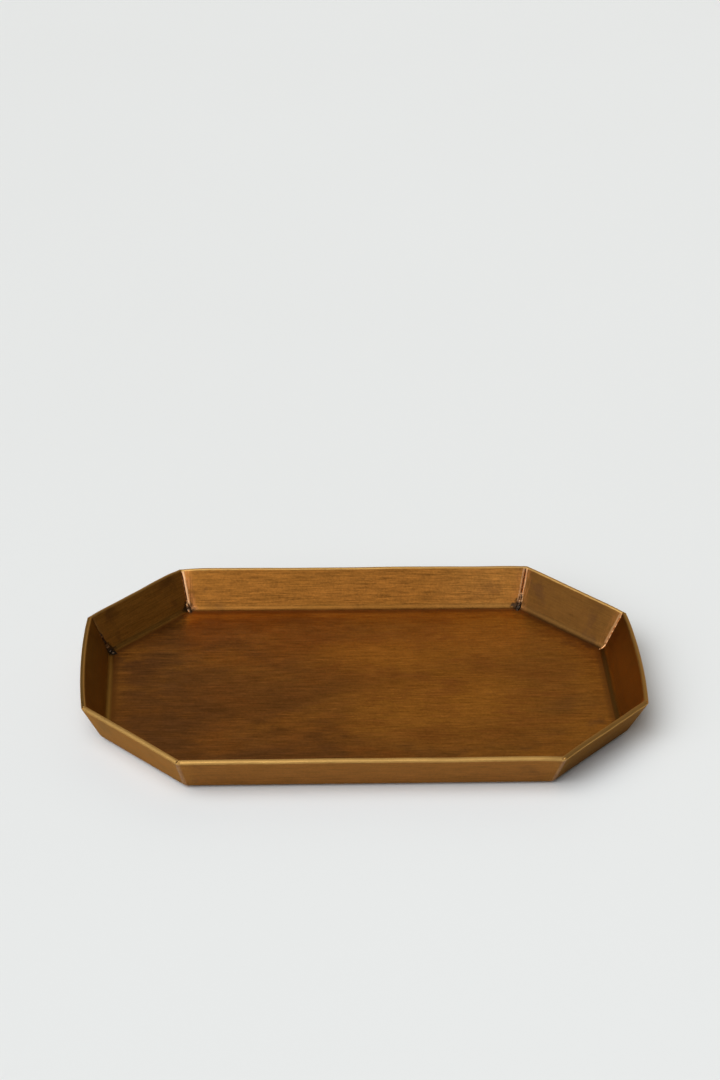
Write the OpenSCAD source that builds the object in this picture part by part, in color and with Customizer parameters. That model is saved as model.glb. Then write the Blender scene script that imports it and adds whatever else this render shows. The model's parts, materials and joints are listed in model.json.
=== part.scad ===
// Brass tray: one octagonal sheet whose eight flaps are folded up and out, with a brazed seam at each corner.
// X runs along the tray, Y across it and Z up. The origin is on the underside, below the middle of the floor.

/* [Tray] */
// Overall length over the rim
rim_length = 220; // [200:1:250]
// Overall width over the rim
rim_width = 139; // [130:1:160]
// Overall height
tray_height = 17.5; // [15:0.5:22]
// Length that each slanting corner takes off the long and the short rim
corner_cut = 37; // [32:1:42]

/* [Folded sheet] */
// Thickness of the sheet
sheet_t = 2; // [1.2:0.1:2.2]
// Angle that each flap is folded through, from flat
fold_angle = 65; // [55:1:72]
// Inside radius of each fold
fold_r = 3; // [2.5:0.25:4]
// Chamfer that breaks the two edges of the rim
edge_break = 0.3; // [0.1:0.1:0.4]

/* [Corner seams] */
// Width of the slot between neighbouring flaps, at their inner faces
root_gap = 0.4; // [0.3:0.1:0.6]
// Width of the filler metal on the outside of the corner
seam_width = 2; // [1.6:0.1:2.6]
// Radius of the bead that runs down the inside of the corner
bead_r = 0.8; // [0.6:0.1:1]
// Radius of the blob of filler at the foot of the bead
blob_r = 1.5; // [1.3:0.1:1.8]

/* [Hidden] */
// Each seam is named after the wall it ends, then the side of the tray it is on
SEAMS = [
    "seam_right_front",
    "seam_right_back",
    "seam_back_right",
    "seam_back_left",
    "seam_left_back",
    "seam_left_front",
    "seam_front_left",
    "seam_front_right"
];
$fn = 64;

turn = 360 / len(SEAMS);
margin = 4;  // how far a cutting solid runs past what it cuts

// A wall in section: its fold turns about a centre line that is fold_outer_r above the underside
fold_outer_r = fold_r + sheet_t;
flap_length = (tray_height - fold_outer_r + (fold_r + edge_break) * cos(fold_angle)) / sin(fold_angle);
wall_reach = (flap_length - edge_break) * cos(fold_angle) + fold_outer_r * sin(fold_angle);

// Distance from the middle of the tray to the rim of an end wall, a slanting wall and a long wall
end_rim = rim_length / 2;
long_rim = rim_width / 2;
slant_rim = (end_rim + long_rim - corner_cut) / sqrt(2);
RIMS = [end_rim, slant_rim, long_rim, slant_rim];

// The straight line in which the inner faces of two neighbouring flaps meet
corner_inset = wall_reach - fold_r * tan(fold_angle / 2);
corner_slope = atan(tan(fold_angle) * cos(turn / 2));
corner_length = tray_height / sin(corner_slope);

// The groove between two flaps, measured square to that line
corner_t = sheet_t / cos(asin(sin(fold_angle) * sin(turn / 2)));
land = corner_t / 4;
slot_depth = (wall_reach - corner_inset) / cos(turn / 2) * sin(corner_slope) + 2 * root_gap;

// Corner k of the tray in plan, anticlockwise from the front of the right end, with all walls moved in by inset
function corner(k, inset) =
    let (
        x = end_rim - inset,
        y = long_rim - inset,
        slant_sum = (slant_rim - inset) * sqrt(2),
        first_half = [
            [x, x - slant_sum],
            [x, slant_sum - x],
            [slant_sum - y, y],
            [y - slant_sum, y]
        ]
    )
    k < 4 ? first_half[k] : -first_half[k - 4];

// A solid with walls j and j + 4 for its sides, and a fold of radius r at the foot of each.
// It stands r below the folds' centre lines and rises to top. A side's edge is flap_outline, whose x runs up the flap
// from the fold and whose y runs inwards from the fold's centre line.
module wall_pair(j, r, top, flap_outline) {
    fold_x = RIMS[j] - wall_reach;
    rotate([90, 0, turn * j])
        linear_extrude(height = 2 * rim_length, center = true) {
            translate([-fold_x, fold_outer_r - r])
                square([2 * fold_x, top - fold_outer_r + r]);
            for (side = [0, 1])
                mirror([side, 0])
                    translate([fold_x, fold_outer_r]) {
                        circle(r);
                        rotate(fold_angle)
                            polygon(flap_outline);
                    }
        }
}

// The tray with its hollow filled in: its sides are the outer faces of the walls, and the planes of the cut rim
module filled_tray() {
    intersection_for (j = [0:3])
        wall_pair(j, fold_outer_r, tray_height + 1, [
            [0, flap_length],
            [0, -fold_outer_r],
            [flap_length - edge_break, -fold_outer_r],
            [flap_length, -fold_outer_r + edge_break],
            [flap_length, flap_length]
        ]);
}

// The hollow: its sides are the inner faces of the walls, and it runs on above the rim
module hollow() {
    intersection_for (j = [0:3])
        wall_pair(j, fold_r, 2 * tray_height, [
            [0, flap_length],
            [0, -fold_r],
            [flap_length - edge_break, -fold_r],
            [flap_length, -fold_r - edge_break],
            [flap_length + margin, -fold_r - edge_break],
            [flap_length + margin, flap_length]
        ]);
}

// Sets its children on the inner corner line k: x out through the corner, z up along it
module along_corner(k) {
    foot = corner(k, corner_inset);
    translate([foot.x, foot.y, sheet_t])
        rotate([0, 90 - corner_slope, turn * (k - 1 / 2)])
            children();
}

// What is left open between two flaps: a slot that reaches through the fold, then a vee that widens to the outside
module corner_groove(k) {
    vee_end = corner_t + 1;
    vee_half = root_gap / 2 + (seam_width - root_gap) / 2 * (vee_end - land) / (corner_t - land);
    along_corner(k)
        translate([0, 0, -margin])
            linear_extrude(height = corner_length + 2 * margin)
                polygon([
                    [-slot_depth, -root_gap / 2],
                    [land, -root_gap / 2],
                    [vee_end, -vee_half],
                    [vee_end, vee_half],
                    [land, root_gap / 2],
                    [-slot_depth, root_gap / 2]
                ]);
}

module tray_sheet() {
    color("#8a6230")
        difference() {
            filled_tray();
            hollow();
            for (k = [0:len(SEAMS) - 1])
                corner_groove(k);
        }
}

// Filler metal of corner k: it fills the groove flush outside, with a bead and a blob inside
module seam(k) {
    blob = corner(k, corner_inset);
    color("#b5764a") {
        difference() {
            intersection() {
                filled_tray();
                corner_groove(k);
            }
            hollow();
        }
        intersection() {
            hollow();
            union() {
                along_corner(k)
                    cylinder(r = bead_r, h = corner_length - margin);
                translate([blob.x, blob.y, sheet_t])
                    sphere(blob_r);
            }
        }
    }
}

tray_sheet();
for (k = [0:len(SEAMS) - 1])
    seam(k);
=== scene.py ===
import json
import math

import bmesh
import bpy
import numpy as np
from mathutils import Matrix, Vector


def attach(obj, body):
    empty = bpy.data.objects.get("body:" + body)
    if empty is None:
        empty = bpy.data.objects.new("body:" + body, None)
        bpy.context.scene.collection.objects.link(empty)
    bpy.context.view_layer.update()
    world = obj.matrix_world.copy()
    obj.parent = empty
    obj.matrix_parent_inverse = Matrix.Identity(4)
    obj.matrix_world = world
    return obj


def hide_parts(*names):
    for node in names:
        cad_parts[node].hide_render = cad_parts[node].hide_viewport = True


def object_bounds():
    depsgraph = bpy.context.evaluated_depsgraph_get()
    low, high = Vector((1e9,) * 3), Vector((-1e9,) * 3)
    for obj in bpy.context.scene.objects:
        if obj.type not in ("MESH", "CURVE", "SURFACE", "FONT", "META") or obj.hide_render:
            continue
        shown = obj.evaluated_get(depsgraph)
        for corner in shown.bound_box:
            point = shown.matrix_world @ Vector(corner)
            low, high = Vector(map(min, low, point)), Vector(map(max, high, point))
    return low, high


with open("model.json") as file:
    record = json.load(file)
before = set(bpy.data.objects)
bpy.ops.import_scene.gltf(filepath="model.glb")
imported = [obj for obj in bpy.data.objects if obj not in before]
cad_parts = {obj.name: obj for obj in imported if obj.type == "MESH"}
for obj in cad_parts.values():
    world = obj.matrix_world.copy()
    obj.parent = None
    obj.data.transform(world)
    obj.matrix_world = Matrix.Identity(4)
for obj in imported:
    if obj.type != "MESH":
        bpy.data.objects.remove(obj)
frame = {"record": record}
cad_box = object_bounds()

MM = 0.001
BODY = "root"

# ---------------------------------------------------------------- sizes, from the frame

record = frame["record"]
HALF_LENGTH = cad_box[1].x
HALF_WIDTH = cad_box[1].y
HEIGHT = cad_box[1].z
SHEET = next(m["pos_m"][2] for m in record["mounts"] if m["name"] == "serving_face")

# The shape of the folds and of the corners
CORNER_CUT = 37 * MM
FOLD = math.radians(65)
INNER_R = 3 * MM
OUTER_R = INNER_R + SHEET
MIDDLE_R = INNER_R + SHEET / 2
EDGE_BREAK = 0.3 * MM
FLAP = (HEIGHT - OUTER_R + (INNER_R + EDGE_BREAK) * math.cos(FOLD)) / math.sin(FOLD)
REACH = (FLAP - EDGE_BREAK) * math.cos(FOLD) + OUTER_R * math.sin(FOLD)
FOLD_ARC = MIDDLE_R * FOLD
SHEET_TOP = FOLD_ARC + FLAP

SIDES = 8
TURN = 2 * math.pi / SIDES
SLANT_RIM = (HALF_LENGTH + HALF_WIDTH - CORNER_CUT) / math.sqrt(2)
RIMS = [HALF_LENGTH, SLANT_RIM, HALF_WIDTH, SLANT_RIM] * 2

# The slot between two flaps, and the rounding of every cut edge
ROOT_HALF = 0.2 * MM
SEAM_HALF = 1.0 * MM
SLOT_START = 1.2 * MM
RIM_R = 0.7 * MM
END_R = 0.35 * MM
# The filler closes the slot over this height below the rim
CLOSED = 1.6 * MM

# Corner k lies between side k - 1 and side k. Side 0 is the right end, and side 2 the back wall.
SEAMS = [
    "seam_right_front",
    "seam_right_back",
    "seam_back_right",
    "seam_back_left",
    "seam_left_back",
    "seam_left_front",
    "seam_front_left",
    "seam_front_right",
]


# ---------------------------------------------------------------- plan and section of the tray

def plan(angle):
    return np.array([math.cos(angle), math.sin(angle)])


OUT = [plan(TURN * j) for j in range(SIDES)]
ALONG = [plan(TURN * j + math.pi / 2) for j in range(SIDES)]
DIAGONAL = [plan(TURN * (k - 0.5)) for k in range(SIDES)]


def corner(k, inset):
    """Corner k of the octagon that lies inset inside the rim, in plan."""
    before, after = (k - 1) % SIDES, k % SIDES
    normals = np.array([OUT[before], OUT[after]])
    return np.linalg.solve(normals, [RIMS[before] - inset, RIMS[after] - inset])


def section(up, offset):
    """Distance outwards from the fold line, height and lean of a point of the sheet in section.

    up runs along the middle of the sheet from the fold line, and is negative on the floor. offset is the
    distance from the middle of the sheet towards its upper, inner face."""
    lean = np.clip(up / MIDDLE_R, 0, FOLD)
    rise = np.maximum(up - FOLD_ARC, 0)
    out = MIDDLE_R * np.sin(lean) + rise * math.cos(FOLD) + np.minimum(up, 0)
    height = OUTER_R - MIDDLE_R * np.cos(lean) + rise * math.sin(FOLD)
    return out - offset * np.sin(lean), height + offset * np.cos(lean), lean


def smooth(value, low, high):
    t = np.clip((value - low) / (high - low), 0, 1)
    return t * t * (3 - 2 * t)


def ripple(t, seed, count=5):
    """A smooth wave between about -1 and 1, made of a few sines whose phases follow from seed."""
    total = np.zeros_like(np.asarray(t, float))
    for n in range(1, count + 1):
        total += np.sin(t * n * 1.37 + seed * 2.3 + n * n * 1.9) / n
    return total / 1.8


def closed_below(up):
    """1 where the slot between two flaps shows inside, down to 0 where the filler closes it below the rim."""
    return 1 - smooth(up, SHEET_TOP - 1.6 * CLOSED, SHEET_TOP - CLOSED)


def slot_half(up, offset):
    """Half the width of the slot between two flaps: a root at the inner face, then a vee to the outside."""
    depth = np.clip(((SHEET / 2 - offset) / SHEET - 0.25) / 0.75, 0, 1)
    return (ROOT_HALF + (SEAM_HALF - ROOT_HALF) * depth) * smooth(up, 0, SLOT_START)


# ---------------------------------------------------------------- what handwork did to the tray

END_BOW = 1.6 * MM
FLOOR_RISE = 0.22 * MM
RIM_WAVE = 0.12 * MM
# How far each rim corner is filed down, and the radius that its outside is filed to
CORNER_DIP = [0.15, 0.35, 0.15, 0.65, 0.4, 0.1, 0.1, 0.35]
FILED_R = [3.0, 3.8, 3.0, 4.2, 4.2, 2.8, 2.6, 3.0]


def inset_of(points):
    """Distance of each point inside the nearest rim line, in plan."""
    return np.min([RIMS[j] - points[:, :2] @ OUT[j] for j in range(SIDES)], axis=0)


def hand_worked(points):
    """Moves points of the ideal tray to where hand folding and filing left them."""
    p = points.copy()
    x, y = points[:, 0], points[:, 1]
    rise = np.clip((points[:, 2] - SHEET) / (HEIGHT - SHEET), 0, 1)
    at_end = smooth(np.abs(x), HALF_LENGTH - 2 * REACH, HALF_LENGTH - REACH)
    end_half = corner(1, 0)[1]
    p[:, 0] += np.sign(x) * at_end * END_BOW * rise ** 1.4 * np.clip(1 - (y / end_half) ** 2, 0, 1)
    at_side = smooth(np.abs(y), HALF_WIDTH - 2 * REACH, HALF_WIDTH - REACH)
    p[:, 1] += at_side * rise ** 1.5 * RIM_WAVE * ripple(x * 45, 1 + np.sign(y))
    p[:, 2] += rise ** 2 * RIM_WAVE * ripple((x + 2 * y) * 38, 4)
    for k in range(SIDES):
        away = np.hypot(*(points[:, :2] - corner(k, 0)).T)
        p[:, 2] -= CORNER_DIP[k] * MM * rise ** 3 * np.exp(-((away / (5 * MM)) ** 2))
    inside = inset_of(points) - REACH
    waves = 0.35 * ripple(x * 28 + y * 17, 2) + 0.25 * ripple(y * 60 - x * 9, 5)
    p[:, 2] += FLOOR_RISE * smooth(inside, 0, 8 * MM) * (1 + waves)
    return p


def filed(points, up, k):
    """Rounds the outside of corner k: points beyond the filed radius move in to it."""
    before, after = (k - 1) % SIDES, k % SIDES
    lean = section(up, 0)[2]
    radius = FILED_R[k] * MM
    normals, depths = [], []
    out, height, _ = section(up, -SHEET / 2)
    for j in (before, after):
        normal = np.column_stack([np.outer(np.sin(lean), OUT[j]), -np.cos(lean)])
        on_face = np.column_stack([np.outer(RIMS[j] - REACH + out, OUT[j]), height])
        normals.append(normal)
        depths.append(np.sum((points - on_face) * normal, 1) + radius)
    cosine = np.clip(np.sum(normals[0] * normals[1], 1), -1, 0.995)
    first = (depths[0] - cosine * depths[1]) / (1 - cosine ** 2)
    second = (depths[1] - cosine * depths[0]) / (1 - cosine ** 2)
    away = first[:, None] * normals[0] + second[:, None] * normals[1]
    distance = np.linalg.norm(away, axis=1)
    rounds = (first > 0) & (second > 0) & (distance > radius) & (lean > 0.25)
    pull = np.where(rounds, radius / np.maximum(distance, 1e-9) - 1, 0)
    return points + away * pull[:, None]


# ---------------------------------------------------------------- the folded sheet

END_STEPS = np.array([0, 0.05, 0.16, 0.4, 0.7, 1.1, 1.6, 2.2, 3.0, 4.0, 5.4, 7.0]) * MM
COLUMN = 1.7 * MM
BEND_ROWS = 12
FLAP_ROWS = 16
EDGE_STEPS = 6
MARGIN_RINGS = np.array([1, 2, 3.2, 4.6, 6.2, 8, 10]) * MM
FLOOR_RINGS = 26


def side_half(j, inset):
    return (corner(j + 1, inset) - corner(j, inset)) @ ALONG[j] / 2


def columns(j, half):
    """Places along side j from its middle, close together at its ends. half is half its length."""
    half = np.asarray(half, float)[:, None]
    steps = END_STEPS[None, :]
    count = int(round(2 * (side_half(j, REACH) - END_STEPS[-1]) / COLUMN))
    even = np.linspace(-1, 1, count + 1)[1:-1][None, :] * (half - END_STEPS[-1])
    return np.concatenate([steps - half, even, (half - steps)[:, ::-1]], axis=1)


def edge_distances():
    """Distances from a cut edge at which the rounded edge has a row of points."""
    turn = np.linspace(0, math.pi / 2, EDGE_STEPS + 1)[:-1]
    return RIM_R * (1 - np.sin(turn))[::-1]


def wall_rows():
    bend = np.linspace(0, FOLD_ARC, BEND_ROWS + 1)
    flap = np.linspace(FOLD_ARC, SHEET_TOP - 1.2 * RIM_R, FLAP_ROWS + 1)[1:]
    first = np.array([0.25, 0.6]) * MM
    return np.sort(np.concatenate([bend, first, flap, SHEET_TOP - edge_distances()]))


def half_thickness(from_rim, from_end):
    """Half the thickness of the sheet near its rounded edges."""
    near_rim = np.clip(1 - from_rim / RIM_R, 0, 1)
    near_end = np.clip(1 - from_end / END_R, 0, 1)
    return SHEET / 2 - RIM_R * (1 - np.sqrt(1 - near_rim ** 2)) - END_R * (1 - np.sqrt(1 - near_end ** 2))


def wall_grid(j, face):
    """Points of one face of flap j, in rows up it and columns along it, and where they are on the sheet."""
    rows = wall_rows()
    up = rows[:, None]
    out_of_fold = section(rows, 0)[0]
    half = side_half(j, REACH) + out_of_fold * math.tan(TURN / 2) - slot_half(rows, face * SHEET / 2)
    place = columns(j, half)
    from_end = half[:, None] - np.abs(place)
    opened = smooth(up, 0, SLOT_START) * closed_below(up) if face > 0 else 0.0
    half_t = half_thickness(SHEET_TOP - up, from_end + (1 - opened) * END_R)
    out, height, _ = section(np.broadcast_to(up, place.shape), face * half_t)
    slope = 1 + (out - out_of_fold[:, None]) * math.tan(TURN / 2) / half[:, None]
    middle = (corner(j, REACH) + corner(j + 1, REACH)) / 2
    flat = middle + (place * slope)[..., None] * ALONG[j] + out[..., None] * OUT[j]
    points = np.concatenate([flat, height[..., None]], axis=2)
    if face < 0:
        shape = points.shape
        flat_points = points.reshape(-1, 3)
        flat_up = np.broadcast_to(up, place.shape).reshape(-1)
        for k in (j, (j + 1) % SIDES):
            flat_points = filed(flat_points, flat_up, k)
        points = flat_points.reshape(shape)
    return points, np.broadcast_to(up, place.shape), from_end


# For each flap: how clean it was rubbed or, below 0, how much darker it is painted, partly as patina and
# partly as painted shade; how far it turned olive; how much painted shade dims the highlight on its fold; and
# how much painted shade darkens its outside. All were set by comparing renders with the photo.
RUB_AND_PAINTED_SHADE = [-0.95, -0.7, 0.75, 1.0, 0.45, 0.3, 0.3, 0.2]
OLIVED = [0.45, 0.2, 0.0, 0.55, 0.7, 0.2, 0.0, 0.2]
FOLD_PAINTED_SHADE = [0.1, 0.7, 0.9, 0.3, 0.0, 0.2, 0.2, 0.2]
OUTSIDE_PAINTED_SHADE = [0.6, 0.3, 0.0, 0.0, 0.0, 0.0, 0.0, 0.95]
# For each corner: how strongly it was heated and how much flux was left on it, on the wall before it and on
# the wall after it
HEATED = [(0.2, 0.2), (0.0, 0.17), (0.35, 0.3), (0.9, 0.0), (0.1, 0.05), (0.2, 0.2), (0.2, 0.3), (0.2, 0.3)]
FLUXED = [(0.5, 0.5), (0.1, 0.1), (0.3, 1.0), (0.8, 0.9), (0.9, 0.9), (0.6, 0.6), (0.5, 0.5), (0.6, 0.6)]


class Shell:
    """Collects the points and faces of the sheet, with the numbers that its material reads."""

    def __init__(self):
        self.points, self.up, self.seam, self.inner, self.side = [], [], [], [], []
        self.faces, self.face_side = [], []
        self.count = 0

    def add(self, points, up, seam, inner, side=-1):
        points = np.asarray(points, float).reshape(-1, 3)
        n = len(points)
        self.points.append(points)
        self.up.append(np.broadcast_to(up, n).copy())
        self.seam.append(np.broadcast_to(seam, n).copy())
        self.inner.append(np.full(n, float(inner)))
        self.side.append(np.full(n, side))
        first = self.count
        self.count += n
        return np.arange(first, self.count)

    def quads(self, grid, side):
        a, b = grid[:-1, :-1], grid[:-1, 1:]
        c, d = grid[1:, 1:], grid[1:, :-1]
        block = np.stack([a, b, c, d], axis=-1).reshape(-1, 4)
        self.faces.extend(map(tuple, block.tolist()))
        self.face_side.extend([side] * len(block))


def ring_points(inset, scale=1.0):
    """The octagon at inset inside the rim, with the flaps' own columns, anticlockwise from corner 0."""
    loops = []
    for j in range(SIDES):
        place = columns(j, [side_half(j, inset)])[0]
        middle = (corner(j, inset) + corner(j + 1, inset)) / 2
        loops.append((middle + place[:-1, None] * ALONG[j]) * scale)
    return np.concatenate(loops)


def nearest_corner(points):
    return np.min([np.hypot(*(points[:, :2] - corner(k, REACH)).T) for k in range(SIDES)], axis=0)


def floor_face(shell, face, ring):
    """The flat floor: rings at an even inset beside the folds, then shrinking rings to the middle."""
    height = SHEET if face > 0 else 0.0
    specs = [(REACH + m, 1.0) for m in MARGIN_RINGS]
    last = REACH + MARGIN_RINGS[-1]
    specs += [(last, s) for s in np.linspace(1, 0, FLOOR_RINGS + 1)[1:-1]]
    before = ring
    for inset, scale in specs:
        flat = ring_points(inset, scale)
        points = np.column_stack([flat, np.full(len(flat), height)])
        up = REACH - inset_of(points)
        now = shell.add(points, up, nearest_corner(points), face > 0)
        shell.quads(np.stack([np.append(before, before[0]), np.append(now, now[0])]), "floor")
        before = now
    middle = shell.add([[0, 0, height]], REACH - HALF_WIDTH, 1.0, face > 0)[0]
    for a, b in zip(before, np.roll(before, -1)):
        shell.faces.append((int(a), int(b), int(middle)))
        shell.face_side.append("floor")


def build_shell():
    shell = Shell()
    edges = []
    for face in (1, -1):
        grids = [wall_grid(j, face) for j in range(SIDES)]
        start = np.concatenate([g[0][0][:-1] for g in grids])
        ring = shell.add(start, 0.0, nearest_corner(start), face > 0)
        first = 0
        paths = []
        for j, (points, up, from_end) in enumerate(grids):
            width = points.shape[1]
            bottom = ring[(first + np.arange(width)) % len(ring)]
            first += width - 1
            above = shell.add(points[1:], up[1:].ravel(), from_end[1:].ravel(), face > 0, j)
            above = above.reshape(-1, width)
            index = np.vstack([bottom, above])
            shell.quads(index, j)
            paths.append(np.concatenate([index[:, 0], index[-1, 1:-1], index[::-1, -1]]))
        edges.append(paths)
        floor_face(shell, face, ring)
    for j in range(SIDES):
        shell.quads(np.stack([edges[0][j], edges[1][j]]), j)
    return shell


def brush_place(point, side):
    """Where a point lies for the brush marks: along the strokes, then across them, in metres."""
    if side == "floor":
        return point[0], point[1]
    flat = point[:2]
    across = RIMS[side] - flat @ OUT[side]
    return flat @ ALONG[side], HALF_WIDTH - across + point[2]


def mesh_object(name, points, faces, material):
    mesh = bpy.data.meshes.new(name)
    mesh.from_pydata([tuple(p) for p in points], [], faces)
    mesh.materials.append(material)
    mesh.polygons.foreach_set("use_smooth", [True] * len(mesh.polygons))
    mesh.update()
    piece = bpy.data.objects.new(name, mesh)
    bpy.context.scene.collection.objects.link(piece)
    return piece


def face_outwards(mesh):
    work = bmesh.new()
    work.from_mesh(mesh)
    bmesh.ops.recalc_face_normals(work, faces=work.faces)
    work.to_mesh(mesh)
    work.free()


def add_numbers(mesh, name, values):
    attribute = mesh.attributes.new(name, "FLOAT", "POINT")
    attribute.data.foreach_set("value", np.asarray(values, np.float32))


def sheet_numbers(mesh, shell, ideal):
    """Gives the mesh what its material reads. Cycles keeps the name heat for itself, hence corner_heat."""
    up = np.concatenate(shell.up)
    wall = np.concatenate(shell.side)
    add_numbers(mesh, "from_rim", SHEET_TOP - up)
    add_numbers(mesh, "up_sheet", up)
    add_numbers(mesh, "from_seam", np.concatenate(shell.seam))
    add_numbers(mesh, "inner_face", np.concatenate(shell.inner))
    for name, amounts in (("rub_and_painted_shade", RUB_AND_PAINTED_SHADE), ("olived", OLIVED), ("fold_painted_shade", FOLD_PAINTED_SHADE), ("outside_painted_shade", OUTSIDE_PAINTED_SHADE)):
        add_numbers(mesh, name, np.append(amounts, 0)[wall])
    distances = [np.hypot(*(ideal[:, :2] - corner(k, REACH)).T) for k in range(SIDES)]
    nearest = np.argmin(distances, axis=0)
    after = (wall == nearest).astype(int)
    add_numbers(mesh, "corner_heat", np.array(HEATED)[nearest, after])
    add_numbers(mesh, "corner_flux", np.array(FLUXED)[nearest, after])


def tray_sheet(material):
    shell = build_shell()
    ideal = np.concatenate(shell.points)
    piece = mesh_object("tray_sheet_folded", hand_worked(ideal), shell.faces, material)
    mesh = piece.data
    sheet_numbers(mesh, shell, ideal)
    layer = mesh.uv_layers.new(name="brush")
    for polygon, side in zip(mesh.polygons, shell.face_side):
        for loop in polygon.loop_indices:
            layer.data[loop].uv = brush_place(ideal[mesh.loops[loop].vertex_index], side)
    face_outwards(mesh)
    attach(piece, BODY)
    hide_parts("tray_sheet")


# ---------------------------------------------------------------- the brazed seams

FILLER_LAP = 0.03 * MM
ACROSS = 6
SIDE_STEPS = 3


class Seam:
    """How one brazed corner turned out, in millimetres, and shares of the seam's length from the floor."""

    def __init__(self, bead, bead_half, filled, crack, blob, blob_half, toe, seed):
        self.bead, self.bead_half = bead * MM, bead_half * MM
        self.filled, self.crack = filled, crack * MM
        self.blob, self.blob_half = blob * MM, blob_half * MM
        self.toe, self.seed = toe * MM, seed

    def inside(self, up):
        """Height of the filler over the inner faces, and half its width there."""
        share = up / SHEET_TOP
        lumps = ripple(up / MM * 1.9, self.seed, 6)
        fill = 1 - smooth(share + 0.05 * lumps, self.filled - 0.08, self.filled + 0.08)
        bead = self.bead * (1 + 0.45 * lumps)
        height = fill * bead - (1 - fill) * self.crack * (1 + 0.3 * lumps)
        half = fill * self.bead_half * (1 + 0.25 * lumps) + (1 - fill) * (ROOT_HALF + FILLER_LAP)
        at_foot = np.exp(-(((up - 2.6 * MM) / (self.blob_half * 2.0)) ** 2)) * (1 + 0.35 * lumps)
        height = height + (self.blob * (1 + 0.2 * lumps) - np.minimum(height, 0)) * at_foot
        half = half + (self.blob_half - half).clip(0) * at_foot
        toe = smooth(up, -self.toe, 0.4 * MM)
        return height * toe * closed_below(up), np.maximum(half * np.sqrt(toe), 0.05 * MM)


SEAM_STYLES = {
    "seam_right_front": Seam(0.30, 0.7, 0.75, 0.5, 0.45, 1.1, 1.0, 1.0),
    "seam_right_back": Seam(0.18, 0.3, 1.20, 0.2, 0.12, 0.5, 0.2, 2.0),
    "seam_back_right": Seam(0.45, 0.8, 0.45, 0.9, 0.45, 1.2, 1.0, 3.0),
    "seam_back_left": Seam(0.35, 0.6, 0.30, 0.7, 0.50, 1.1, 1.2, 4.0),
    "seam_left_back": Seam(0.40, 0.8, 0.60, 0.7, 0.55, 1.4, 1.4, 5.0),
    "seam_left_front": Seam(0.30, 0.7, 0.70, 0.5, 0.45, 1.1, 1.0, 6.0),
    "seam_front_left": Seam(0.35, 0.7, 0.80, 0.5, 0.45, 1.1, 1.0, 7.0),
    "seam_front_right": Seam(0.30, 0.6, 0.65, 0.5, 0.45, 1.1, 1.0, 8.0),
}
# How much of each seam, from the front of the right end, stayed dark with flux
CRACKED = [0.7, 0.1, 1.0, 0.8, 1.0, 0.7, 0.7, 0.7]


def corner_point(k, up, offset, beside):
    """Points near corner k: up and offset as in section(), and beside the corner line along either side."""
    out, height, _ = section(up, offset)
    base = corner(k, REACH)
    direction = np.where(beside[:, None] > 0, ALONG[k % SIDES], ALONG[(k - 1) % SIDES])
    flat = base + (out / math.cos(TURN / 2))[:, None] * DIAGONAL[k] + beside[:, None] * direction
    return np.column_stack([flat, height])


def seam_rows(style):
    toe = np.linspace(-style.toe, 0, 7)[:-1]
    wall = np.linspace(0, SHEET_TOP - 1.2 * RIM_R, 60)
    return np.concatenate([toe, wall, SHEET_TOP - edge_distances()])


def seam_loop(k, style, up):
    """One closed section of the filler: its outside, one groove side, its inside, the other groove side."""
    height, half = (float(v[0]) for v in style.inside(np.array([up])))
    round_off = float(half_thickness(SHEET_TOP - up, 1.0)) - SHEET / 2
    across = np.linspace(-1, 1, 2 * ACROSS + 1)
    if up > 0:
        bottom = -SHEET / 2 - round_off
        outside = float(slot_half(up, -SHEET / 2)) + FILLER_LAP
        root = float(slot_half(up, SHEET / 2)) + FILLER_LAP
    else:
        bottom = SHEET / 2 - 0.2 * MM
        outside = root = half * 0.7
    level = np.full(len(across), up)
    points = [filed(corner_point(k, level, bottom, across * outside), level, k)]
    top = SHEET / 2 + round_off
    side_offsets = np.linspace(bottom, top, SIDE_STEPS + 2)[1:-1]
    side_halves = np.linspace(outside, root, SIDE_STEPS + 2)[1:-1]
    points.append(corner_point(k, np.full(SIDE_STEPS, up), side_offsets, side_halves))
    crown = 1 - across ** 2
    inner_offsets = top + np.where(height > 0, height * crown - 0.04 * MM, height)
    points.append(corner_point(k, level, inner_offsets, -across * half))
    points.append(corner_point(k, np.full(SIDE_STEPS, up), side_offsets[::-1], -side_halves[::-1]))
    return np.concatenate(points)


def seam_piece(k, material):
    name = SEAMS[k]
    style = SEAM_STYLES[name]
    rows = seam_rows(style)
    loops = np.array([seam_loop(k, style, float(up)) for up in rows])
    count = loops.shape[1]
    points = np.concatenate([loops.reshape(-1, 3), loops[0].mean(0)[None], loops[-1].mean(0)[None]])
    index = np.arange(len(rows) * count).reshape(len(rows), count)
    index = np.hstack([index, index[:, :1]])
    quads = np.stack([index[:-1, :-1], index[:-1, 1:], index[1:, 1:], index[1:, :-1]], -1)
    faces = quads.reshape(-1, 4).tolist()
    low, high = len(points) - 2, len(points) - 1
    faces += [(a, b, low) for a, b in zip(index[0, :-1].tolist(), index[0, 1:].tolist())]
    faces += [(a, b, high) for a, b in zip(index[-1, :-1].tolist(), index[-1, 1:].tolist())]
    piece = mesh_object(name.replace("seam", "braze"), hand_worked(points), faces, material)
    up = np.concatenate([np.repeat(rows, count), [rows[0], rows[-1]]])
    add_numbers(piece.data, "up_sheet", up)
    add_numbers(piece.data, "cracked", np.full(len(up), CRACKED[k]))
    inside = np.zeros(count)
    inside[2 * ACROSS + 1 + SIDE_STEPS:-SIDE_STEPS] = 1
    add_numbers(piece.data, "inner_face", np.append(np.tile(inside, len(rows)), [1, 1]))
    face_outwards(piece.data)
    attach(piece, BODY)
    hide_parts(name)


# ---------------------------------------------------------------- materials

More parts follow.
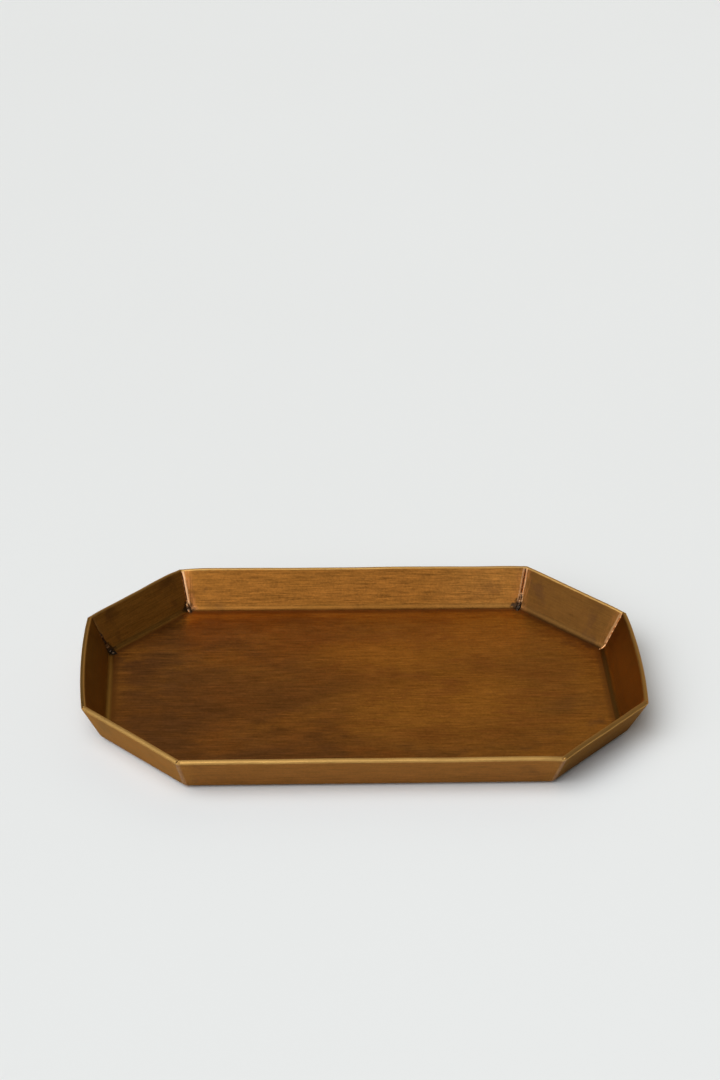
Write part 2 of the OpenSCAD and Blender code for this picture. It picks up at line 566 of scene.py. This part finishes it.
class Graph:
    """The shader nodes of one material or world."""

    def __init__(self, owner):
        owner.use_nodes = True
        self.tree = owner.node_tree
        self.tree.nodes.clear()

    def node(self, kind, inputs=None, **settings):
        made = self.tree.nodes.new(kind)
        for key, value in settings.items():
            setattr(made, key, value)
        for key, value in (inputs or {}).items():
            self.put(made.inputs[key], value)
        return made

    def put(self, socket, value):
        if isinstance(value, bpy.types.NodeSocket):
            self.tree.links.new(value, socket)
        else:
            socket.default_value = value

    def math(self, operation, first, second=0.0, clamp=False):
        made = self.node("ShaderNodeMath", {0: first, 1: second}, operation=operation, use_clamp=clamp)
        return made.outputs[0]

    def times(self, first, second):
        return self.math("MULTIPLY", first, second)

    def plus(self, first, second):
        return self.math("ADD", first, second)

    def minus(self, first, second):
        return self.math("SUBTRACT", first, second)

    def centred(self, noise):
        """A noise moved from about 0 to 1 down to about -0.5 to 0.5."""
        return self.minus(noise, 0.5)

    def number(self, name):
        return self.node("ShaderNodeAttribute", attribute_name=name).outputs["Fac"]

    def place(self):
        return self.node("ShaderNodeTexCoord").outputs["Object"]

    def scaled(self, vector, scale):
        return self.node("ShaderNodeVectorMath", {0: vector, 1: scale}, operation="MULTIPLY").outputs[0]

    def noise(self, vector, scale, detail=3.0, roughness=0.55):
        made = self.node(
            "ShaderNodeTexNoise",
            {"Vector": vector, "Scale": scale, "Detail": detail, "Roughness": roughness},
        )
        return made.outputs["Fac"]

    def between(self, value, low, high, start=0.0, end=1.0):
        """value from low to high, smoothly mapped to start to end."""
        made = self.node(
            "ShaderNodeMapRange",
            {"Value": value, "From Min": low, "From Max": high, "To Min": start, "To Max": end},
            interpolation_type="SMOOTHSTEP",
        )
        return made.outputs["Result"]

    def band(self, value, start, full, last, end):
        """1 where value lies from full to last, and smoothly down to 0 at start and at end."""
        return self.times(self.between(value, start, full), self.between(value, end, last))

    def mix(self, share, first, second, blend="MIX"):
        made = self.node("ShaderNodeMix", data_type="RGBA", blend_type=blend)
        self.put(made.inputs[0], share)
        self.put(made.inputs[6], first)
        self.put(made.inputs[7], second)
        return made.outputs[2]


def colour(red, green, blue):
    return (red, green, blue, 1.0)


AGED = colour(0.270, 0.102, 0.0205)
AGED_GOLD = colour(0.365, 0.148, 0.0240)
BRIGHT_GOLD = colour(0.44, 0.175, 0.0260)
# A dark brown used for darker patina and also for painted shade
DARK_PATINA_AND_SHADE = colour(0.150, 0.057, 0.0145)
OXIDE = colour(0.125, 0.055, 0.0235)
OLIVE = colour(0.235, 0.155, 0.0400)
RED_BROWN = colour(0.275, 0.089, 0.0200)
RUBBED_BRASS = colour(0.56, 0.225, 0.0400)
PINK_BRASS = colour(0.62, 0.275, 0.0580)
# Painted shade: multiplies the band up some folds darker, to dim their highlight
FOLD_SHADE_TINT = colour(0.42, 0.42, 0.45)
# Painted reflection: a tint on the floor beside the back fold that stands in for light reflected between
# floor and back wall
BACK_REFLECTION_TINT = colour(0.87, 0.97, 0.90)
OUTSIDE = colour(0.250, 0.105, 0.0300)
FILED_GOLD = colour(0.36, 0.175, 0.0400)
WORN = colour(0.50, 0.28, 0.085)
BRIGHT_COPPER = colour(0.90, 0.52, 0.26)
COPPER = colour(0.72, 0.275, 0.0800)
EDGE_TINT = colour(1.0, 0.78, 0.5)
FLUX = colour(0.030, 0.020, 0.014)
SOLDER = colour(0.42, 0.38, 0.34)

# A rounded outline on the floor, with a ring that aged dark inside it: half its length and width, and how
# square it is
STAIN_HALF_LENGTH = HALF_LENGTH - REACH
STAIN_HALF_WIDTH = HALF_WIDTH - REACH
STAIN_POWER = 3.2
# Height up the sheet of the middle of the flux stain at each corner
FOOT_UP = 3.2 * MM
# What the patina's clouds gain at the right end and lose at the left end, which makes the right lighter
END_DRIFT = 0.16
# The fold at the foot of the back wall
BACK_FOLD = HALF_WIDTH - REACH
# How fine the patina is along, across and up the tray
CLOUD_SCALE = (14, 30, 30)
PATCH_SCALE = (34, 62, 62)
# Marks in a metre, along the strokes and across them
FINE_MARKS = (110, 1500)
MEDIUM_MARKS = (45, 620)
BROAD_MARKS = (9, 170)
DASH_MARKS = (75, 950)
FILE_MARKS = (1500, 130)


def stain_place(g, place):
    """0 in the middle of the floor, and 1 on the outline that touches the end and long walls' folds."""
    x, y, _ = g.node("ShaderNodeSeparateXYZ", {0: place}).outputs
    along = g.math("POWER", g.math("ABSOLUTE", g.times(x, 1 / STAIN_HALF_LENGTH)), STAIN_POWER)
    across = g.math("POWER", g.math("ABSOLUTE", g.times(y, 1 / STAIN_HALF_WIDTH)), STAIN_POWER)
    return g.math("POWER", g.plus(along, across), 1 / STAIN_POWER)


# Where the floor aged darker and where it is lighter and golder: shares of the half length and of the half
# width, then a size as a share of the half length
DARK_POOLS = [
    (-0.46, 0.05, 0.36),
    (-0.80, -0.42, 0.20),
    (-0.28, -0.72, 0.26),
    (-0.62, -0.78, 0.16),
    (0.82, -0.15, 0.15),
    (0.78, -0.62, 0.14),
]
GOLD_POOLS = [
    (0.34, -0.10, 0.26),
    (0.48, 0.60, 0.28),
    (0.10, 0.35, 0.20),
]


def pools(g, place, spots, ragged):
    """The strongest of several soft spots, drawn out along the tray, with uneven edges."""
    total = 0.0
    for x, y, size in spots:
        middle = (x * HALF_LENGTH, y * HALF_WIDTH, SHEET)
        off = g.node("ShaderNodeVectorMath", {0: place, 1: middle}, operation="SUBTRACT").outputs[0]
        off = g.scaled(off, (0.7 / (size * HALF_LENGTH), 1.3 / (size * HALF_LENGTH), 0))
        distance = g.node("ShaderNodeVectorMath", {0: off}, operation="LENGTH").outputs["Value"]
        total = g.math("MAXIMUM", total, g.between(g.plus(distance, ragged), 1.25, 0.15))
    return total


def strokes(g, brush, along, across, detail=3.0):
    """Brush marks, from -0.5 to 0.5: along and across are their numbers in a metre."""
    return g.centred(g.noise(g.scaled(brush, (along, across, 1)), 1.0, detail, 0.6))


def weighted(g, *terms):
    """The sum of values times their weights."""
    total = g.times(*terms[0])
    for value, weight in terms[1:]:
        total = g.plus(total, g.times(value, weight))
    return total


class SheetFields:
    """The numbers and noises that the layers of the sheet's material share."""

    def __init__(self, g):
        self.place = g.place()
        self.brush = g.node("ShaderNodeUVMap", uv_map="brush").outputs["UV"]
        self.x, self.y, _ = g.node("ShaderNodeSeparateXYZ", {0: self.place}).outputs
        self.up_sheet = g.number("up_sheet")
        self.from_seam = g.number("from_seam")
        self.inner = g.number("inner_face")
        self.outer = g.minus(1.0, self.inner)
        self.rub_and_painted_shade = g.number("rub_and_painted_shade")
        self.on_floor = g.times(g.between(self.up_sheet, 0.5 * MM, -1.0 * MM), self.inner)
        drift = g.times(self.x, END_DRIFT / HALF_LENGTH)
        self.clouds = g.plus(g.noise(g.scaled(self.place, CLOUD_SCALE), 1.0, 4.0, 0.6), drift)
        patches = g.noise(g.scaled(self.place, PATCH_SCALE), 1.3, 5.0, 0.65)
        self.patches = g.plus(patches, g.times(drift, 0.5))
        self.fine = strokes(g, self.brush, *FINE_MARKS)
        self.medium = strokes(g, self.brush, *MEDIUM_MARKS)
        self.broad = strokes(g, self.brush, *BROAD_MARKS, detail=2.0)


def aged_tone(g, s):
    """The brown that the whole sheet aged to."""
    tone = g.mix(g.between(s.clouds, 0.35, 0.65), AGED, AGED_GOLD)
    tone = g.mix(g.between(s.patches, 0.5, 0.72, 0, 0.45), tone, RED_BROWN)
    tone = g.mix(g.between(s.medium, -0.1, 0.14, 0, 0.35), tone, RED_BROWN)
    return g.mix(g.between(s.patches, 0.48, 0.28, 0, 0.40), tone, DARK_PATINA_AND_SHADE)


def floor_tone(g, s, tone):
    """A dark ring inside the rounded outline, pools, a lighter margin, and a painted reflection tint beside
    the back fold.
    """
    ragged = weighted(g, (g.centred(s.clouds), 0.25), (s.broad, 0.10))
    stain = g.plus(stain_place(g, s.place), ragged)
    ring = g.times(g.band(stain, 0.45, 0.78, 0.84, 0.95), g.between(s.patches, 0.62, 0.40, 0.25, 1.0))
    tone = g.mix(g.times(g.times(ring, s.on_floor), 0.35), tone, OXIDE)
    uneven = weighted(g, (g.centred(s.patches), 2.6), (s.broad, 1.0), (s.medium, 0.5))
    dark = g.times(pools(g, s.place, DARK_POOLS, uneven), s.on_floor)
    tone = g.mix(g.times(dark, 0.36), tone, OXIDE)
    gold = g.times(pools(g, s.place, GOLD_POOLS, uneven), s.on_floor)
    tone = g.mix(g.times(gold, 0.6), tone, BRIGHT_GOLD)
    margin = g.times(g.between(stain, 0.88, 0.97), s.on_floor)
    tone = g.mix(g.times(margin, 0.45), tone, AGED_GOLD)
    # Painted reflection: tints the floor near the back fold for the light reflected from the back wall
    back_reflection_zone = g.between(s.y, BACK_FOLD - 24 * MM, BACK_FOLD - 4 * MM)
    return g.mix(g.times(back_reflection_zone, s.on_floor), tone, BACK_REFLECTION_TINT, "MULTIPLY")


def wall_tone(g, s, tone):
    """Walls painted darker, as patina and as painted shade, walls rubbed clean or turned olive, and the
    outside of them all, with painted shade on the outsides that face away from the light.
    """
    # Below 0 the amount paints the right end and the right-back slant darker: partly darker patina, partly
    # painted shade
    patina_and_painted_shade = g.math("MAXIMUM", g.times(s.rub_and_painted_shade, -1.0), 0.0)
    tone = g.mix(patina_and_painted_shade, tone, DARK_PATINA_AND_SHADE)
    clean = g.mix(g.between(s.clouds, 0.3, 0.7, 0, 0.6), RUBBED_BRASS, AGED_GOLD)
    clean = g.mix(g.between(s.x, 0.20 * HALF_LENGTH, 0.55 * HALF_LENGTH), clean, PINK_BRASS)
    tone = g.mix(g.times(g.math("MAXIMUM", s.rub_and_painted_shade, 0.0), s.inner), tone, clean)
    tone = g.mix(g.times(g.number("olived"), s.inner), tone, OLIVE)
    tone = g.mix(g.times(s.outer, 0.85), tone, OUTSIDE)
    # Painted shade: darkens the outsides of the right end and the two right slants, which face away from the
    # light
    return g.mix(g.times(s.outer, g.number("outside_painted_shade")), tone, DARK_PATINA_AND_SHADE)


def brush_streaks(g, s):
    """How much lighter or darker the brushing makes each place. It is weaker on inner walls with little
    rubbing and on those painted darker.
    """
    grit = g.centred(g.noise(s.place, 1100, 2.0, 0.6))
    streaks = weighted(g, (s.fine, 1.15), (s.medium, 0.55), (s.broad, 0.25), (grit, 0.55))
    brushed = g.math("MAXIMUM", s.on_floor, g.math("MAXIMUM", s.rub_and_painted_shade, s.outer))
    return g.times(streaks, g.between(brushed, 0.0, 0.9, 0.45, 1.0))


def brushed_tone(g, s, tone, streaks):
    """Light and dark streaks along the strokes, and short dark dashes in the older patches."""
    level = g.plus(1.0, streaks)
    grey = g.node("ShaderNodeCombineColor", {0: level, 1: level, 2: level}).outputs[0]
    tone = g.mix(1.0, tone, grey, "MULTIPLY")
    dashes = g.between(strokes(g, s.brush, *DASH_MARKS, detail=4.0), 0.10, 0.22)
    dashes = g.times(dashes, g.between(s.patches, 0.62, 0.38, 0.1, 0.45))
    dashes = g.times(dashes, g.plus(0.4, g.times(s.on_floor, 0.6)))
    return g.mix(dashes, tone, OXIDE)


def fold_tone(g, s, tone):
    """Smudges near the corners, a dark line at the foot of each fold, and painted shade that dims the
    highlight on some folds.
    """
    near_corner = g.between(s.from_seam, 24 * MM, 3 * MM)
    smudged = g.times(near_corner, g.between(g.noise(s.place, 75, 4.0, 0.6), 0.50, 0.66, 0, 0.6))
    tone = g.mix(smudged, tone, OXIDE)
    foot = g.band(s.up_sheet, -3.0 * MM, -0.4 * MM, 0.4 * MM, 2.0 * MM)
    tone = g.mix(g.times(foot, 0.65), tone, DARK_PATINA_AND_SHADE)
    # Painted shade: the band up each fold is darkened to dim its highlight, by an amount set for each flap
    fold_shade_band = g.band(s.up_sheet, -0.2 * MM, 1.2 * MM, 3.6 * MM, 5.0 * MM)
    return g.mix(g.times(fold_shade_band, g.number("fold_painted_shade")), tone, FOLD_SHADE_TINT, "MULTIPLY")


def corner_tone(g, s, tone):
    """Patches filed beside the hot corners, flux at their feet, and a bright edge beside the seams."""
    ragged = g.noise(s.place, 300, 4.0, 0.7)
    rag = g.centred(ragged)
    heat = g.number("corner_heat")
    uneven = g.plus(s.from_seam, g.times(rag, 6 * MM))
    heated = g.times(g.between(uneven, 4.4 * MM, 2.2 * MM), g.between(ragged, 0.38, 0.58, 0.25, 1.0))
    heated = g.times(g.times(heated, heat), g.between(s.up_sheet, 0.5 * MM, 3 * MM))
    filing = g.between(strokes(g, s.brush, *FILE_MARKS), 0.04, -0.08, 0, 0.65)
    tone = g.mix(heated, tone, g.mix(filing, g.mix(s.inner, FILED_GOLD, COPPER), DARK_PATINA_AND_SHADE))

    off_foot = g.times(g.math("ABSOLUTE", g.minus(s.up_sheet, FOOT_UP)), 0.9)
    foot = g.plus(g.plus(s.from_seam, off_foot), g.times(rag, 8 * MM))
    fluxed = g.times(g.between(foot, 4.4 * MM, 2.4 * MM, 0, 0.9), s.inner)
    tone = g.mix(g.times(fluxed, g.number("corner_flux")), tone, FLUX)

    edge = g.plus(s.from_seam, g.times(rag, 1.0 * MM))
    edge = g.times(g.between(edge, 1.05 * MM, 0.75 * MM), g.between(s.up_sheet, 4 * MM, 6 * MM))
    edge = g.times(edge, g.between(heat, 0.05, 0.4, 0, 0.9))
    return g.mix(g.times(edge, s.inner), tone, BRIGHT_COPPER)


def rim_wear(g, s):
    """1 on the rim, where it is worn bright, down to 0 below it along an uneven edge."""
    uneven = g.times(g.centred(g.noise(s.place, 420, 3.0, 0.6)), 0.7 * MM)
    return g.between(g.plus(g.number("from_rim"), uneven), 1.1 * MM, 0.3 * MM)


def sheet_bump(g, s):
    """Brush marks, and the small dents of handwork over them."""
    height = g.plus(s.fine, s.medium)
    marks = g.node("ShaderNodeBump", {"Strength": 0.45, "Distance": 0.02 * MM, "Height": height})
    dents = {
        "Strength": 0.5,
        "Distance": 0.15 * MM,
        "Height": g.noise(s.place, 160, 3.0, 0.55),
        "Normal": marks.outputs[0],
    }
    return g.node("ShaderNodeBump", dents).outputs[0]


def sheet_material():
    material = bpy.data.materials.new("aged_brushed_brass")
    g = Graph(material)
    s = SheetFields(g)
    streaks = brush_streaks(g, s)
    worn = rim_wear(g, s)
    tone = wall_tone(g, s, floor_tone(g, s, aged_tone(g, s)))
    tone = brushed_tone(g, s, tone, streaks)
    tone = corner_tone(g, s, fold_tone(g, s, tone))
    tone = g.mix(worn, tone, WORN)
    rough = g.plus(0.42, g.times(streaks, 0.25))
    rough = g.plus(rough, g.times(g.centred(s.clouds), 0.14))
    rough = g.math("ADD", rough, g.times(worn, 0.08), clamp=True)
    shader = g.node(
        "ShaderNodeBsdfPrincipled",
        {
            "Base Color": tone,
            "Metallic": 1.0,
            "Specular Tint": EDGE_TINT,
            "Roughness": rough,
            "Anisotropic": 0.5,
            "Anisotropic Rotation": 0.25,
            "Tangent": g.node("ShaderNodeTangent", direction_type="UV_MAP", uv_map="brush").outputs[0],
            "Normal": sheet_bump(g, s),
        },
    )
    g.node("ShaderNodeOutputMaterial", {"Surface": shader.outputs[0]})
    return material


def braze_material():
    material = bpy.data.materials.new("brazing_filler")
    g = Graph(material)
    place = g.place()
    up_sheet = g.number("up_sheet")
    inner = g.number("inner_face")
    cracked = g.number("cracked")
    lumps = g.noise(place, 600, 4.0, 0.6)
    tone = g.mix(g.between(lumps, 0.4, 0.62), BRIGHT_COPPER, COPPER)
    tone = g.mix(g.times(cracked, 0.7), tone, AGED)
    in_crack = g.between(lumps, 0.36, 0.60, 0.35, 0.9)
    tone = g.mix(g.times(in_crack, cracked), tone, FLUX)
    at_foot = g.times(g.between(up_sheet, 6.0 * MM, 3.0 * MM), cracked)
    spots = g.noise(place, 700, 3.0, 0.6)
    tone = g.mix(g.times(at_foot, g.between(spots, 0.34, 0.50)), tone, FLUX)
    drops = g.between(g.noise(place, 1100, 2.0, 0.5), 0.60, 0.70, 0, 0.6)
    tone = g.mix(g.times(at_foot, drops), tone, SOLDER)
    tone = g.mix(inner, g.mix(g.between(lumps, 0.3, 0.7), OUTSIDE, FILED_GOLD), tone)
    rim = g.between(up_sheet, SHEET_TOP - 1.3 * MM, SHEET_TOP - 0.5 * MM)
    tone = g.mix(rim, tone, WORN)
    rough = g.math("ADD", 0.36, g.times(spots, 0.25), clamp=True)
    uneven = g.times(g.times(lumps, inner), g.minus(1.0, rim))
    bump = g.node("ShaderNodeBump", {"Strength": 0.6, "Distance": 0.12 * MM, "Height": uneven})
    shader = g.node(
        "ShaderNodeBsdfPrincipled",
        {"Base Color": tone, "Metallic": 1.0, "Roughness": rough, "Normal": bump.outputs[0]},
    )
    g.node("ShaderNodeOutputMaterial", {"Surface": shader.outputs[0]})
    return material


# ---------------------------------------------------------------- floor, light and camera

FLOOR_SIZE = 8.0


def stage_floor():
    material = bpy.data.materials.new("pale_floor")
    g = Graph(material)
    cloud = g.noise(g.place(), 1.6, 3.0, 0.5)
    tone = g.mix(cloud, colour(0.78, 0.765, 0.75), colour(0.82, 0.81, 0.80))
    shader = g.node("ShaderNodeBsdfPrincipled", {"Base Color": tone, "Roughness": 0.55})
    g.node("ShaderNodeOutputMaterial", {"Surface": shader.outputs[0]})
    half = FLOOR_SIZE / 2
    corners = [(-half, -half, 0), (half, -half, 0), (half, half, 0), (-half, half, 0)]
    floor = mesh_object("pale_floor", corners, [(0, 1, 2, 3)], material)


# The room is an even dim tone with broad, soft glows. Azimuth 0 is in front of the tray, and 90 to its right.
ROOM_TONE = colour(0.02, 0.02, 0.02)
# What camera rays see of the room in place of the glows. It lights nothing.
BACKDROP = colour(0.78, 0.78, 0.775)


class Glow:
    """A soft patch of light: the direction it comes from, its spread in degrees, and its colour."""

    def __init__(self, azimuth, elevation, spread, tint):
        a, e = math.radians(azimuth), math.radians(elevation)
        self.direction = (math.sin(a) * math.cos(e), -math.cos(a) * math.cos(e), math.sin(e))
        self.edge = math.cos(math.radians(spread))
        self.tint = tint


# Four glows overlap in one large soft window at the front left. The others are the pale room around it.
# They began as a fit of the photo's brightness, and were then rounded and turned down.
GLOWS = [
    Glow(-60, 47, 40, colour(1.75, 1.85, 1.90)),
    Glow(-30, 47, 40, colour(1.00, 1.07, 1.10)),
    Glow(-45, 62, 40, colour(2.20, 2.30, 2.35)),
    Glow(-45, 32, 40, colour(0.40, 0.43, 0.47)),
    Glow(0, 12, 70, colour(0.14, 0.13, 0.13)),
    Glow(90, 8, 50, colour(0.15, 0.13, 0.09)),
    Glow(150, 15, 60, colour(0.25, 0.22, 0.17)),
    Glow(170, 38, 40, colour(0.25, 0.21, 0.16)),
]


def soft_room():
    world = bpy.data.worlds.new("studio")
    g = Graph(world)
    direction = g.node("ShaderNodeTexCoord").outputs["Generated"]
    tone = ROOM_TONE
    for glow in GLOWS:
        towards = g.node("ShaderNodeVectorMath", {0: direction, 1: glow.direction}, operation="DOT_PRODUCT")
        tone = g.mix(g.between(towards.outputs["Value"], glow.edge, 1.0), tone, glow.tint, "ADD")
    tone = g.mix(g.node("ShaderNodeLightPath").outputs["Is Camera Ray"], tone, BACKDROP)
    background = g.node("ShaderNodeBackground", {"Color": tone})
    g.node("ShaderNodeOutputWorld", {"Surface": background.outputs[0]})
    bpy.context.scene.world = world


# The camera as a fit to the photo placed it, with the tray taken to be its CAD length
CAMERA_TARGET = Vector((5.4 * MM, 119.2 * MM, 0))
CAMERA_DISTANCE = 1182.6 * MM
CAMERA_PITCH = math.radians(31.08)
CAMERA_TURN = math.radians(3.64)
CAMERA_ROLL = math.radians(1.51)
CAMERA_LENS = 90
CLIP_END = 20


def camera():
    level = Vector((math.sin(CAMERA_TURN), math.cos(CAMERA_TURN), 0))
    ahead = level * math.cos(CAMERA_PITCH) - Vector((0, 0, math.sin(CAMERA_PITCH)))
    right = Vector((math.cos(CAMERA_TURN), -math.sin(CAMERA_TURN), 0))
    above = right.cross(ahead)
    rolled_right = right * math.cos(CAMERA_ROLL) + above * math.sin(CAMERA_ROLL)
    rolled_above = above * math.cos(CAMERA_ROLL) - right * math.sin(CAMERA_ROLL)
    data = bpy.data.cameras.new("camera")
    data.lens = CAMERA_LENS
    data.clip_end = CLIP_END
    made = bpy.data.objects.new("camera", data)
    turned = Matrix((rolled_right, rolled_above, -ahead)).transposed().to_4x4()
    made.matrix_world = Matrix.Translation(CAMERA_TARGET - ahead * CAMERA_DISTANCE) @ turned
    bpy.context.scene.collection.objects.link(made)
    bpy.context.scene.camera = made


# ---------------------------------------------------------------- the scene

camera()
stage_floor()
soft_room()
bpy.context.scene.view_settings.view_transform = "Standard"
sheet_brass = sheet_material()
braze = braze_material()
tray_sheet(sheet_brass)
for number in range(SIDES):
    seam_piece(number, braze)
